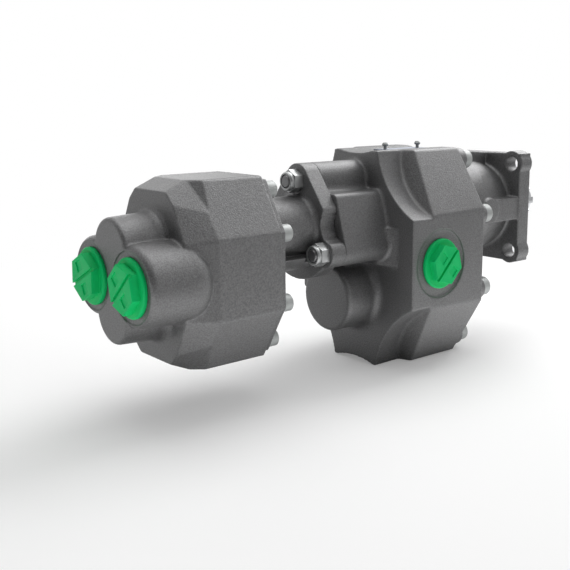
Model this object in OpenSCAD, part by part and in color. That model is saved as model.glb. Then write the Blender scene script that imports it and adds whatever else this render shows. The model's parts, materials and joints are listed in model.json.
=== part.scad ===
// Tandem hydraulic gear pump: two gear pumps on one drive line, a large front
// unit with a square mounting flange and a smaller unit bolted behind it.
// Origin: centre of the square flange's front face, on the drive shaft's axis.
// +X runs out of the flange towards the driver, +Z is up, millimetres.

/* [Mounting flange] */
// Hole spacing of the square flange, both ways
flange_spacing = 80; // [76:1:84]
// Diameter of the four flange holes
flange_hole_d = 13; // [11:0.5:14]
// Width of the flange across its straight sides
flange_w = 99; // [96:1:104]
// Radius of the rounded lobe around each flange hole
flange_lobe_r = 11.5; // [10.5:0.5:13]
// Thickness of the flange
flange_t = 15.4; // [12:0.2:20]
// Diameter of the centring pilot
pilot_d = 80; // [70:1:84]
// Height of the centring pilot
pilot_h = 8; // [5:1:10]

// Radius of the cover's bell beside the body
bell_r = 47; // [44:0.5:48]
// Radius of the neck behind the flange
neck_r = 39; // [36:0.5:41]

/* [Front pump casting] */
// Distance from the flange face to the joint of cover and body
cover_len = 88; // [80:1:100]
// Length of the body from the joint to its rear rim
front_body_len = 85; // [82:1:95]
// Half width of the body at the side faces
front_side_w = 67.5; // [64:0.5:72]
// How much each side face draws in from the joint to the rear rim
front_side_draft = 1.5; // [0.5:0.5:3]
// Half height of the side faces at the joint
front_side_h = 39; // [36:1:44]
// Half height of the body at its top and bottom
front_top_h = 88.5; // [86:0.5:94]
// How much lower the bottom face lies than the top face lies high
front_bottom_drop = 1.8; // [0:0.1:3]
// Half width of the top face at the joint
front_top_w = 37; // [34:1:40]
// Half width of the top face at the rear rim
front_rim_top_w = 25.3; // [23:0.1:28]
// Half height of the side faces at the rear rim
front_rim_side_h = 36; // [34:1:38]
// Radius of the hollow that each slanted corner has behind its step
front_scoop_r = 74; // [66:1:86]
// Distance from the rear rim to the step's lower end
front_step_x = 22; // [16:0.5:26]
// How far the step turns towards the side, in degrees
front_step_turn = 19; // [6:1:24]
// How far the step leans back, in degrees
front_step_tilt = 20; // [16:1:30]
// Radius of the shallow valley along the top and bottom faces
front_valley_r = 75; // [60:1:90]
// Depth of that valley
front_valley_depth = 2.5; // [1.5:0.5:5]
// Depth of the same valley along the bottom face
bottom_valley_depth = 3.5; // [1.5:0.5:5]
// Radius of the rounded long edges
front_edge_r = 4; // [2:0.5:6]
// Radius of the driven shaft's rear boss
driven_boss_r = 28; // [27:0.5:31]
// Length of the driven shaft's rear boss
driven_boss_len = 32; // [32:0.5:40]
// Reach of the raised passages beside the drive boss
pad_reach = 53; // [48:1:58]
// Upper and lower height of those passages
pad_high_z = -3; // [-6:0.5:0]
pad_low_z = -34; // [-38:0.5:-30]
// How far those passages stand out beside the boss
pad_rise = 6; // [3:0.5:8]
// Radius of the rounded rims of the bosses
rim_round = 3; // [1:0.5:4]

/* [Front pump works] */
// Distance between the two gear axes
front_centre = 62; // [60:0.5:64]
// Width of the gears
front_gear_w = 34; // [28:1:38]
// Thickness of the bearing block between gears and cover
front_block_t = 36; // [34:1:40]
// Thickness of the wear plate behind the gears
wear_plate_t = 3; // [2:0.5:4]
// Radius of the gear journals
front_journal_r = 20; // [17:0.5:21]
// Depth of the rear bearing bores below the gear chamber
front_bearing_len = 32; // [26:1:34]

/* [Drive shaft end] */
// Major diameter of the straight-sided drive spline
spline_major_d = 36; // [34:0.5:37]
// Minor diameter of the drive spline
spline_minor_d = 32; // [30:0.5:32.5]
// Number of spline keys
spline_keys = 8; // [6:1:10]
// Width of one spline key
spline_key_w = 6; // [5:0.5:7]
// How far the shaft stands out of the flange face
shaft_out = 52; // [45:1:60]
// Radius of the shaft where the lip seal runs
seal_run_r = 19; // [18.5:0.5:19.5]

/* [Ports and plugs] */
// Radius of the port bores
port_r = 16.5; // [15:0.5:17]
// Distance from the front joint to the side port's axis
side_port_from_joint = 52; // [48:0.5:58]
// How far the side ports lie below the middle of the two gear axes
side_port_drop = 1.5; // [0:0.5:3]
// Radius of the spot face around each side port
spotface_r = 28; // [26:0.5:30]
// Depth of that spot face
spotface_depth = 2.5; // [1:0.5:4]
// Radius of a plug's flange
plug_flange_r = 20.3; // [19:0.1:22]
// Thickness of a plug's flange
plug_flange_t = 3; // [2.5:0.5:6]
// Hexagon size of a plug across its corners
plug_hex_d = 34; // [30:0.2:35]
// Height of a plug's hexagon
plug_hex_h = 6; // [4:0.5:9]
// Width of the slot across a plug
plug_slot_w = 2.4; // [1.6:0.2:3]
// Depth of the slot across a plug
plug_slot_depth = 2; // [1:0.5:4]
// Length of a plug's stub inside the port
plug_stub_len = 13; // [10:1:15]

/* [Rear pump casting] */
// Length of the body from the joint to its rear rim
rear_body_len = 75; // [73:1:84]
// Half width of the body at the side faces
rear_side_w = 50.5; // [49:0.5:54]
// Half height of the side faces
rear_side_h = 28; // [26:1:31]
// Half height of the body at its top and bottom
rear_top_h = 66.5; // [65:0.5:70]
// Half width of the top face
rear_top_w = 27.5; // [26:0.5:30]
// Length of the bevel along the rear rim's top and bottom
rear_bevel_len = 16; // [13:1:18]
// Length of the bevelled band at the side faces
rear_band_len = 22; // [20:1:24]
// Distance from the rear rim to the step above each slanted corner
rear_step_x = 25.5; // [23:0.5:27]
// How far that step turns towards the side, in degrees
rear_step_turn = 49; // [40:1:55]
// How far that step leans back, in degrees
rear_step_tilt = 29; // [24:1:34]
// Radius of the rounded long edges
rear_edge_r = 3; // [2:0.5:4]
// How far the rear port and bearing lobes stand behind the rim
rear_lobe_len = 32; // [28:0.5:35]
// Radius of the two bearing lobes
bearing_lobe_r = 23; // [21:0.5:24]
// Radius of the two port lobes at their end
port_lobe_r = 28; // [27:0.5:29]
// Half distance between the two rear ports
rear_port_y = 27; // [25:0.5:29]
// Radius of the spot face around each rear port
rear_spotface_r = 24.5; // [22:0.5:25]
// Depth of that spot face
rear_spotface_depth = 1.5; // [1:0.5:3]

/* [Rear pump works] */
// Distance between the two gear axes
rear_centre = 43; // [42:0.5:44]
// Width of the gears
rear_gear_w = 28; // [20:1:30]
// Thickness of the bearing block between gears and cover
rear_block_t = 22; // [18:1:23]
// Radius of the gear journals
rear_journal_r = 13; // [11:0.5:13.5]
// Depth of the rear bearing bores below the gear chamber
rear_bearing_len = 22; // [18:1:24]

/* [Tandem joint] */
// Length of the front pump's rear boss, from the body's rim to the tandem face
tandem_boss_len = 49; // [46:1:56]
// Thickness of the three-lug flange
tandem_flange_t = 14; // [12:1:16]
// Length of the neck between flange and rear cover plate
tandem_neck_len = 49.5; // [46:0.5:56]
// Radius of the neck
tandem_neck_r = 24.5; // [24:0.5:26]
// Radius of the circle on which the three studs stand
stud_circle_r = 36; // [35:0.5:37]
// Diameter of the studs
stud_d = 10; // [8:1:10]
// Depth of a stud's thread in the boss
stud_depth = 20; // [15:1:25]
// Radius of the spigot that centres the rear pump
spigot_r = 22.8; // [22.5:0.1:23.2]
// Height of that spigot
spigot_h = 3; // [2:0.5:4]
// Hexagon of a stud nut across its flats
nut_flats = 16; // [13:1:17]
// Height of a stud nut with its collar
nut_h = 11; // [9:0.5:12]

// Radius of the hollow in each side of the three-lug flange
scallop_r = 13.5; // [11:0.5:14]
// Height of the shoulders beside the boss's upper lobe
boss_shoulder_z = 26.2; // [24:0.2:28]
// Half width of the boss at its shoulders
boss_shoulder_w = 31; // [29:0.5:34]

/* [Covers and screws] */
// Thickness of the front cover's plate
front_plate_t = 10; // [8:1:14]
// Thickness of the rear cover's plate
rear_plate_t = 5.5; // [5:0.5:8]
// Diameter of the front cover's screws
front_screw_d = 10; // [8:1:10]
// Diameter of the rear cover's screws
rear_screw_d = 8; // [6:1:8]
// Thread length of the front screws in the body
front_screw_reach = 24; // [18:1:30]
// Thread length of the rear screws in the body
rear_screw_reach = 18; // [14:1:24]
// Diameter of the dowel pins
dowel_d = 8; // [6:1:8]
// Length of the dowel pins
dowel_len = 12; // [10:1:16]

/* [Small parts] */
// Length of the bare name plate
plate_len = 50; // [46:1:56]
// Width of the name plate
plate_w = 18; // [16:1:24]
// Thickness of the name plate
plate_t = 0.8; // [0.6:0.1:1.5]
// Distance between the name plate's drive screws
plate_screw_pitch = 40; // [36:1:42]
// Width of the lip seals
seal_w = 10; // [8:1:12]
// Outer radius of the front lip seal
front_seal_r = 26; // [25:0.5:28]
// Outer radius of the rear lip seal
rear_seal_r = 18.5; // [18:0.5:19]
// Thickness of the retaining rings
ring_t = 1.5; // [1:0.1:2]
// Thickness of the round sealing cords
cord_d = 3; // [2:0.5:3]
// Outer radius of the shaft coupling
coupling_r = 17; // [16:0.5:18]
// Length of the shaft coupling
coupling_len = 42; // [38:1:44]
// Radius of the splined shaft ends inside the coupling
stub_r = 11; // [10:0.5:11.5]

/* [Fits] */
// Running clearance of journals, seals and spline ends, on the radius
run_gap = 0.05; // [0.02:0.01:0.09]
// Clearance of fixed pieces in their seats, on the radius
seat_gap = 0.05; // [0.02:0.01:0.2]
// Side clearance of the gears
side_gap = 0.1; // [0.05:0.05:0.2]
// Clearance of screws and studs in plain holes, on the radius
screw_gap = 0.5; // [0.3:0.1:1]

/* [Hidden] */
$fn = 96;
gear_teeth = 12;
pressure_angle = 25;
flank_steps = 6;
over = 1;
thin = 0.02;
front_mid_z = -front_centre / 2;
rear_mid_z = -rear_centre / 2;
front_joint_x = -cover_len;
front_rim_x = front_joint_x - front_body_len;
tandem_x = front_rim_x - tandem_boss_len;
tandem_back_x = tandem_x - tandem_flange_t;
neck_end_x = tandem_back_x - tandem_neck_len;
rear_joint_x = neck_end_x - rear_plate_t;
rear_rim_x = rear_joint_x - rear_body_len;
rear_end_x = rear_rim_x - rear_lobe_len;
front_gear_x = front_joint_x - front_block_t - side_gap;
front_chamber_x = front_gear_x - front_gear_w - side_gap - wear_plate_t;
rear_gear_x = rear_joint_x - rear_block_t - side_gap;
rear_chamber_x = rear_gear_x - rear_gear_w - side_gap - wear_plate_t;
front_module = front_centre / gear_teeth;
rear_module = rear_centre / gear_teeth;
addendum = 0.95;
dedendum = 1.2;
front_tip_r = front_centre / 2 + addendum * front_module;
rear_tip_r = rear_centre / 2 + addendum * rear_module;
front_chamber_r = front_tip_r + side_gap;
rear_chamber_r = rear_tip_r + side_gap;
bush_t = 2;
side_port_x = front_joint_x - side_port_from_joint;
side_port_z = front_mid_z - side_port_drop;
rear_port_seat_x = rear_end_x + rear_spotface_depth;
front_head_h = front_screw_d;
rear_head_h = rear_screw_d;
front_plate_x = front_joint_x + front_plate_t;
stub_out = 20;
coupling_x = tandem_x - 3;
coupling_rear_x = coupling_x - coupling_len / 2;
coupling_front_x = coupling_x + coupling_len / 2;
front_seal_x = pilot_h - 4;
rear_seal_x = coupling_rear_x - 4;
stud_z = stud_circle_r;
lug_r = 13.5;
low_lug_r = 11.3;
saddle_r = tandem_neck_r + 9;
saddle_z = -20;
flange_round_r = stud_circle_r + 6;
cord_gap = 0.05;
scallop_y = 28.6 + scallop_r;
scallop_z = 3.4;
valley_z = front_mid_z + front_top_h - front_valley_depth;
bottom_valley_z = front_mid_z - front_top_h - front_bottom_drop + bottom_valley_depth;

// Helpers: placing and profiles

// Extrudes a profile drawn in the Y-Z plane, from x along +X
module along_x(x, length) {
  translate([x, 0, 0]) rotate([90, 0, 90]) linear_extrude(height = length) children();
}

// Solid rod from x0 to x1 about an axis parallel to X
module rod(x0, x1, r, y = 0, z = 0) {
  translate([x0, y, z]) rotate([0, 90, 0]) cylinder(h = x1 - x0, r = r);
}

// Cone from radius r0 at x0 to radius r1 at x1
module cone(x0, x1, r0, r1, y = 0, z = 0) {
  translate([x0, y, z]) rotate([0, 90, 0]) cylinder(h = x1 - x0, r1 = r0, r2 = r1);
}

// Turns a profile drawn as [radius, x] about the X axis
module turned(y = 0, z = 0) {
  translate([0, y, z]) rotate([0, 90, 0]) rotate_extrude() children();
}

// Boss from x0 to x1 with a rounded rim at x0
module round_boss(x0, x1, r, y = 0, z = 0) {
  turned(y, z) {
    translate([0, x0 + rim_round]) square([r, x1 - x0 - rim_round]);
    translate([0, x0]) square([r - rim_round, 2 * rim_round]);
    translate([r - rim_round, x0 + rim_round]) circle(r = rim_round);
  }
}

// Concave ring between a boss of radius r and a wall at x, which faces dir
module cast_fillet(x, r, size, dir, y = 0, z = 0) {
  turned(y, z) translate([0, x]) difference() {
    translate([r - over, min(0, dir * size)]) square([size + over, size]);
    translate([r + size, dir * size]) circle(r = size);
  }
}

// Mirrors its children into all four corners of a section centred on z
module four_corners(z) {
  for (side = [0, 1]) for (level = [0, 1])
    translate([0, 0, z]) mirror([0, side, 0]) mirror([0, 0, level]) children();
}

// Both sides of the machine
module both_sides() {
  children();
  mirror([0, 1, 0]) children();
}

function unit(v) = v / norm(v);
function left(v) = [-v[1], v[0]];
function mirrored(p) = concat(
  p,
  [for (i = [len(p) - 1 : -1 : 0]) [p[i][0], -p[i][1]]],
  [for (i = [0 : len(p) - 1]) [-p[i][0], -p[i][1]]],
  [for (i = [len(p) - 1 : -1 : 0]) [-p[i][0], p[i][1]]]
);
// Lowers the bottom points of an outline
function lowered(p, drop) = [for (q = p) q[1] < -front_side_h - 5 ? [q[0], q[1] - drop] : q];
// Moves every side of a clockwise outline inwards by r
function inset(p, r) = let (n = len(p)) [
  for (i = [0 : n - 1])
    let (a = -left(unit(p[i] - p[(i + n - 1) % n])), b = -left(unit(p[(i + 1) % n] - p[i])))
      p[i] + r * (a + b) / (1 + a * b)
];
// Centre of the circle of radius r through p and q, on the outer side
function scoop_centre(p, q, r) =
  (p + q) / 2 + left(unit(q - p)) * sqrt(r * r - pow(norm(q - p) / 2, 2));

// Drafted block with rounded long edges between two outlines
module drafted_block(x0, outline0, x1, outline1, edge_r, z) {
  hull() {
    for (p = inset(outline0, edge_r)) rod(x0, x0 + thin, edge_r, p[0], z + p[1], $fn = 32);
    for (p = inset(outline1, edge_r)) rod(x1 - thin, x1, edge_r, p[0], z + p[1], $fn = 32);
  }
}

// Half space in front of a slanted step plane that passes through point p
module behind_step(p, turn, tilt, reach = 120) {
  translate(p) rotate([0, tilt, turn]) translate([-2 * reach, -reach, -reach])
    cube([2 * reach, 2 * reach, 2 * reach]);
}

// Gears: involute teeth worked out from the centre distance

function involute_angle(a) = tan(a) * 180 / PI - a;
// Half angle of a tooth at radius r
function half_tooth(r, pitch_r, slack) =
  let (base_r = pitch_r * cos(pressure_angle), a = r > base_r ? acos(base_r / r) : 0)
    90 / gear_teeth - slack + involute_angle(pressure_angle) - involute_angle(a);
function polar(r, a) = [r * cos(a), r * sin(a)];
function gear_outline(pitch_r, root_r, tip_r, phase) = [
  for (k = [0 : gear_teeth - 1])
    let (mid = phase + k * 360 / gear_teeth, base_r = pitch_r * cos(pressure_angle))
      for (s = [-1, 1]) for (j = [0 : flank_steps])
        let (t = s < 0 ? j / flank_steps : 1 - j / flank_steps,
             r = t == 0 ? root_r : base_r + (tip_r - base_r) * (t * flank_steps - 1) / (flank_steps - 1))
          polar(r, mid + s * half_tooth(r, pitch_r, 0.35))
];
module gear_teeth_body(x, width, centre, tip_r, mod, phase, z) {
  translate([0, 0, z]) along_x(x - width, width)
    polygon(gear_outline(centre / 2, centre / 2 - dedendum * mod, tip_r, phase));
}

// Straight-sided spline: core, keys and outer limit
module spline_rod(x0, x1, core_r, outer_r, key_w, keys) {
  along_x(x0, x1 - x0) {
    circle(r = core_r);
    intersection() {
      circle(r = outer_r);
      for (k = [0 : keys - 1]) rotate(360 / keys * k + 90)
        translate([0, -key_w / 2]) square([outer_r + over, key_w]);
    }
  }
}

// Two circles on the gear axes
module figure_eight(r, centre) {
  circle(r = r);
  translate([0, -centre]) circle(r = r);
}

// Cord that follows a figure-eight outline: flat ring cut from the outline
module eight_ring(inner, outer, centre) {
  difference() {
    union() {
      figure_eight(outer, centre);
      translate([-outer, -centre]) square([2 * outer, centre]);
    }
    figure_eight(inner, centre);
    translate([-inner, -centre]) square([2 * inner, centre]);
  }
}

// Front pump

function front_outline(p) = lowered(mirrored(p), front_bottom_drop);
function front_joint_outline() = front_outline([[front_top_w, front_top_h], [front_side_w, front_side_h]]);
function front_rim_outline() =
  front_outline([[front_rim_top_w, front_top_h], [front_side_w - front_side_draft, front_rim_side_h]]);
front_waist_x = front_rim_x + 32;
function front_waist_outline() = front_outline([
  [front_top_w - 1, front_top_h], [front_side_w - front_side_draft * 0.62, front_side_h - 1]
]);
front_screw_at = [
  [front_top_w - 7, front_top_h - 11], [front_side_w - 14, front_side_h - 7]
];
front_dowel_y = front_side_w - 19;

module front_screw_places() {
  four_corners(front_mid_z) for (p = front_screw_at) translate([0, p[0], p[1]]) children();
}

// Hollow behind the slanted corner, closed in front by a slanted step
module front_scoop() {
  p = [front_rim_top_w, front_top_h];
  q = [front_side_w - front_side_draft, front_rim_side_h];
  c = scoop_centre(p, q, front_scoop_r);
  intersection() {
    rod(front_rim_x - over, front_joint_x, front_scoop_r, c[0], c[1]);
    behind_step([front_rim_x + front_step_x, q[0], q[1]], -front_step_turn, front_step_tilt);
  }
}

module front_drive_boss_outline() {
  translate([0, stud_z]) circle(r = lug_r);
  translate([-lug_r, 0]) square([2 * lug_r, stud_z]);
  // concave corner between upper lobe and shoulder
  difference() {
    translate([-lug_r - 5, boss_shoulder_z - over]) square([2 * lug_r + 10, 5 + over]);
    for (s = [-1, 1]) translate([s * (lug_r + 5), boss_shoulder_z + 5]) circle(r = 5);
  }
  hull() {
    for (s = [-1, 1]) translate([s * (boss_shoulder_w - 4), boss_shoulder_z - 4]) circle(r = 4);
    for (s = [-1, 1]) rotate(s * 120) translate([0, stud_circle_r]) circle(r = low_lug_r);
  }
}

module front_casting() {
  difference() {
    union() {
      drafted_block(front_waist_x - thin, front_waist_outline(), front_joint_x, front_joint_outline(),
        front_edge_r, front_mid_z);
      drafted_block(front_rim_x, front_rim_outline(), front_waist_x, front_waist_outline(),
        front_edge_r, front_mid_z);
    }
    four_corners(front_mid_z) front_scoop();
    rod(front_rim_x - over, front_joint_x + over, front_valley_r, 0, valley_z + front_valley_r);
    rod(front_rim_x - over, front_joint_x + over, front_valley_r, 0, bottom_valley_z - front_valley_r);
  }
  along_x(tandem_x, tandem_boss_len + over) front_drive_boss_outline();
  round_boss(front_rim_x - driven_boss_len, front_rim_x + over, driven_boss_r, 0, -front_centre);
  cast_fillet(front_rim_x, driven_boss_r, 6, -1, 0, -front_centre);
  translate([0, 0, pad_low_z]) linear_extrude(height = pad_high_z - pad_low_z)
    polygon([[front_rim_x + over, -pad_reach], [front_rim_x - pad_rise, -boss_shoulder_w],
      [front_rim_x - pad_rise, boss_shoulder_w], [front_rim_x + over, pad_reach]]);
  // web between the two rear bosses
  translate([front_rim_x - driven_boss_len + 10, -11, -front_centre])
    cube([driven_boss_len, 22, front_centre]);
}

module front_port_bores() {
  both_sides() translate([side_port_x, -front_side_w, side_port_z]) rotate([-90, 0, 0]) {
    translate([0, 0, -over]) cylinder(h = spotface_depth + over, r = spotface_r);
    cylinder(h = spotface_depth + plug_stub_len + 5, r = port_r);
    translate([5, 0, 0]) cylinder(h = front_side_w, r = 11);
  }
}

module front_body() {
  color([0.43, 0.43, 0.44]) difference() {
    front_casting();
    along_x(front_chamber_x, front_joint_x - front_chamber_x + over)
      figure_eight(front_chamber_r, front_centre);
    for (z = [0, -front_centre]) rod(front_chamber_x - front_bearing_len, front_chamber_x + over,
      front_journal_r + bush_t + seat_gap, 0, z);
    rod(tandem_x - over, front_chamber_x, coupling_r + 4);
    rod(tandem_x - over, tandem_x + spigot_h + 1, spigot_r + seat_gap);
    front_port_bores();
    front_screw_places() rod(front_joint_x - front_screw_reach - 2, front_joint_x + over,
      front_screw_d / 2 + seat_gap);
    dowel_holes(front_joint_x - dowel_len / 2, front_joint_x + over, front_dowel_y, front_mid_z);
    stud_places() rod(tandem_x - over, tandem_x + stud_depth + 1, stud_d / 2 + seat_gap);
    along_x(front_joint_x - cord_d * 0.8, cord_d)
      eight_ring(front_chamber_r + 3, front_chamber_r + 3 + cord_d, front_centre);
    for (s = [-0.5, 0.5]) translate([name_plate_x + s * plate_screw_pitch, 0, valley_z - plate_hole_depth])
      cylinder(h = plate_hole_depth + over, r = plate_screw_r + seat_gap);
  }
}
plate_screw_r = 1.4;
plate_hole_depth = 6;
plate_head_z = 5.6;
plate_seat_z = valley_z + 0.65;
name_plate_x = front_joint_x - 30;

module dowel_holes(x0, x1, y, z) {
  for (s = [-1, 1]) rod(x0, x1, dowel_d / 2 + seat_gap, s * y, z);
}

module stud_places() {
  for (a = [0, 120, 240]) rotate([a, 0, 0]) translate([0, 0, stud_circle_r]) children();
}

// Front cover: plate, bell neck with webs, square flange and pilot

front_plate_inset = 9;
web_w = 22;
web_foot_z = 20;
front_web_top_z = front_mid_z + front_top_h - 3;
bell_bend_x = front_joint_x + 34;
side_web_x = bell_bend_x;
module front_plate_outline() {
  translate([0, front_mid_z]) polygon(inset(front_joint_outline(), front_plate_inset));
  for (sy = [-1, 1]) for (sz = [-1, 1]) for (p = front_screw_at)
    translate([sy * p[0], front_mid_z + sz * p[1]]) circle(r = front_screw_d);
}

module flange_outline() {
  square(flange_w, center = true);
  for (sy = [-1, 1]) for (sz = [-1, 1])
    translate([sy * flange_spacing / 2, sz * flange_spacing / 2]) circle(r = flange_lobe_r);
}

module front_cover_casting() {
  along_x(front_joint_x, front_plate_t) front_plate_outline();
  rod(front_joint_x + over, bell_bend_x, bell_r);
  cone(bell_bend_x, -flange_t, bell_r, neck_r);
  cast_fillet(-flange_t, neck_r, 4.5, -1);
  // driven shaft's low boss on the plate
  rod(front_plate_x - over, front_plate_x + 12, 27, 0, -front_centre);
  // top web from the plate to the flange
  hull() {
    translate([front_plate_x - 2, -web_w, web_foot_z]) cube([2, 2 * web_w, front_web_top_z - web_foot_z]);
    translate([-flange_t, -web_w / 2, web_foot_z]) cube([thin, web_w, flange_w / 2 - web_foot_z]);
  }
  // side webs, each with a round pad
  translate([side_web_x, -flange_w / 2 + 1, -10]) cube([-side_web_x - flange_t + over, flange_w - 2, 20]);
  both_sides() translate([side_web_x, -flange_w / 2 + 0.5, 1]) rotate([-90, 0, 0]) cylinder(h = 12, r = 11);
  along_x(-flange_t, flange_t) flange_outline();
  rod(-over, pilot_h, pilot_d / 2);
}

module front_cover() {
  color([0.45, 0.45, 0.46]) difference() {
    front_cover_casting();
    for (sy = [-1, 1]) for (sz = [-1, 1]) rod(-flange_t - over, over, flange_hole_d / 2,
      sy * flange_spacing / 2, sz * flange_spacing / 2);
    rod(front_joint_x - over, pilot_h + over, seal_run_r + 1.5);
    rod(front_seal_x - seal_w - 1, pilot_h + over, front_seal_r + seat_gap);
    rod(front_seal_x + seat_gap, front_seal_x + seat_gap + ring_t + 0.1, front_seal_r + 1.3);
    rod(front_joint_x + 8, front_seal_x - seal_w - 8, 27);
    front_screw_places() {
      rod(front_joint_x - over, front_plate_x + over, front_screw_d / 2 + screw_gap);
      rod(front_plate_x, front_plate_x + front_head_h + 6, front_screw_d * 0.8 + 1.2);
    }
    dowel_holes(front_joint_x - over, front_joint_x + dowel_len / 2, front_dowel_y, front_mid_z);
  }
}

// Screws with a socket head, pointing to the rear
module socket_screw(seat_x, d, length) {
  head_r = 0.8 * d;
  difference() {
    union() {
      rod(seat_x, seat_x + d - 0.6, head_r);
      cone(seat_x + d - 0.6, seat_x + d, head_r, head_r - 0.6);
      rod(seat_x - length, seat_x + over, d / 2);
    }
    translate([seat_x + d * 0.45, 0, 0]) rotate([0, 90, 0]) cylinder(h = d, r = d * 0.46, $fn = 6);
  }
}

module front_cover_screws() {
  color([0.66, 0.67, 0.67]) front_screw_places()
    socket_screw(front_plate_x, front_screw_d, front_plate_t + front_screw_reach);
}

module dowels(joint_x, y, z) {
  color([0.6, 0.6, 0.62]) for (s = [-1, 1])
    rod(joint_x - dowel_len / 2 + 0.2, joint_x + dowel_len / 2 - 0.2, dowel_d / 2, s * y, z);
}
module front_dowel_pins() {
  dowels(front_joint_x, front_dowel_y, front_mid_z);
}

// Gears and what carries them

module front_drive_gear() {
  color([0.62, 0.63, 0.65]) {
    gear_teeth_body(front_gear_x, front_gear_w, front_centre, front_tip_r, front_module, 90, 0);
    rod(front_chamber_x - front_bearing_len + 1, front_joint_x, front_journal_r);
    rod(front_joint_x - over, -over, seal_run_r);
    spline_rod(-2 * over, shaft_out, spline_minor_d / 2, spline_major_d / 2, spline_key_w, spline_keys);
    rod(coupling_front_x, front_chamber_x - front_bearing_len + 2, stub_r + 2);
    spline_rod(coupling_front_x - stub_out + 1, coupling_front_x + over, stub_r - 1.5, stub_r, 4, 6);
  }
}

module front_driven_gear() {
  color([0.62, 0.63, 0.65]) {
    gear_teeth_body(front_gear_x, front_gear_w, front_centre, front_tip_r, front_module,
      90 + 180 / gear_teeth, -front_centre);
    rod(front_chamber_x - front_bearing_len + 1, front_joint_x - 1, front_journal_r, 0, -front_centre);
  }
}

// Pressure seal's path: a ring round each bore, joined between them
module bore_ring(centre, gap) {
  difference() {
    figure_eight(centre / 2 + 1.2 - gap, centre);
    figure_eight(centre / 2 - 0.8 + gap, centre);
  }
}

module bearing_block(joint_x, block_t, chamber_r, centre, bore_r) {
  difference() {
    along_x(joint_x - block_t, block_t) figure_eight(chamber_r - seat_gap, centre);
    for (z = [0, -centre]) rod(joint_x - block_t - over, joint_x + over, bore_r + seat_gap, 0, z);
    // groove of the pressure seal on the cover side
    along_x(joint_x - pressure_cord_t, pressure_cord_t + over) bore_ring(centre, 0);
  }
}

module liners(x0, x1, journal_r, centre) {
  for (z = [0, -centre]) difference() {
    rod(x0, x1, journal_r + bush_t, 0, z);
    rod(x0 - over, x1 + over, journal_r + run_gap, 0, z);
  }
}

module wear_plate(x0, chamber_r, centre, journal_r) {
  difference() {
    along_x(x0, wear_plate_t) figure_eight(chamber_r - seat_gap, centre);
    for (z = [0, -centre]) rod(x0 - over, x0 + wear_plate_t + over, journal_r + run_gap + 0.2, 0, z);
  }
}

module front_bearing_block() {
  color([0.72, 0.73, 0.75]) bearing_block(front_joint_x, front_block_t, front_chamber_r,
    front_centre, front_journal_r + bush_t);
}
pressure_cord_t = 2;

module front_block_liners() {
  color([0.72, 0.53, 0.3])
    liners(front_joint_x - front_block_t, front_joint_x, front_journal_r, front_centre);
}

module front_rear_bushes() {
  color([0.72, 0.53, 0.3]) liners(front_chamber_x - front_bearing_len, front_chamber_x - 0.2,
    front_journal_r, front_centre);
}

module front_wear_plate() {
  color([0.75, 0.58, 0.35]) wear_plate(front_chamber_x, front_chamber_r, front_centre, front_journal_r);
}

module front_body_seal() {
  color([0.08, 0.08, 0.08]) along_x(front_joint_x - cord_d * 0.8 + cord_gap, cord_d * 0.8 - cord_gap)
    eight_ring(front_chamber_r + 3 + cord_gap, front_chamber_r + 3 + cord_d - cord_gap, front_centre);
}

module front_pressure_seal() {
  color([0.08, 0.08, 0.08]) along_x(front_joint_x - pressure_cord_t, pressure_cord_t)
    bore_ring(front_centre, cord_gap);
}

// Lip seal: rubber ring with a channel on its oil side
module lip_seal(front_x, outer_r, inner_r) {
  difference() {
    rod(front_x - seal_w, front_x, outer_r);
    rod(front_x - seal_w - over, front_x + over, inner_r);
    difference() {
      rod(front_x - seal_w - over, front_x - 3, outer_r - 2);
      rod(front_x - seal_w - 2 * over, front_x, inner_r + 1.5);
    }
  }
}

// Retaining ring with two eyes, open at the bottom
module retaining_ring(x0, outer_r, inner_r) {
  along_x(x0, ring_t) difference() {
    circle(r = outer_r);
    difference() {
      circle(r = inner_r);
      for (s = [-1, 1]) rotate(s * 12 - 90) translate([inner_r - 0.5, 0]) circle(r = 2.8);
    }
    translate([-3, -outer_r - over]) square([6, outer_r]);
    for (s = [-1, 1]) rotate(s * 12 - 90) translate([inner_r - 0.8, 0]) circle(r = 1.1);
  }
}

module input_shaft_seal() {
  color([0.1, 0.1, 0.1]) lip_seal(front_seal_x, front_seal_r, seal_run_r + run_gap);
}

module input_seal_ring() {
  color([0.3, 0.3, 0.32])
    retaining_ring(front_seal_x + seat_gap + 0.05, front_seal_r + 1.2, front_seal_r - 2);
}

// Plastic port plug drawn at the origin, its seat on z = 0 and its head on +Z
module port_plug(slot_turn) {
  head_z = plug_flange_t + plug_hex_h;
  color([0.2, 0.75, 0.42]) difference() {
    union() {
      cylinder(h = plug_flange_t - 1, r = plug_flange_r);
      translate([0, 0, plug_flange_t - 1]) cylinder(h = 1, r1 = plug_flange_r, r2 = plug_flange_r - 1);
      rotate([0, 0, slot_turn]) cylinder(h = head_z, r = plug_hex_d / 2, $fn = 6);
      translate([0, 0, -plug_stub_len]) cylinder(h = plug_stub_len + over, r = port_r - 0.1);
    }
    translate([0, 0, -plug_stub_len - over]) cylinder(h = plug_stub_len + 2 * over, r = port_r - 3);
    rotate([0, 0, slot_turn]) {
      translate([-plug_hex_d, -plug_slot_w / 2, head_z - plug_slot_depth])
        cube([2 * plug_hex_d, plug_slot_w, plug_slot_depth + over]);
      // shallow square pocket on each side of the slot
      for (s = [-1, 1]) translate([-pocket_w / 2, s * pocket_y - pocket_w / 2, head_z - 0.8])
        cube([pocket_w, pocket_w, 0.8 + over]);
    }
  }
}

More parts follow.
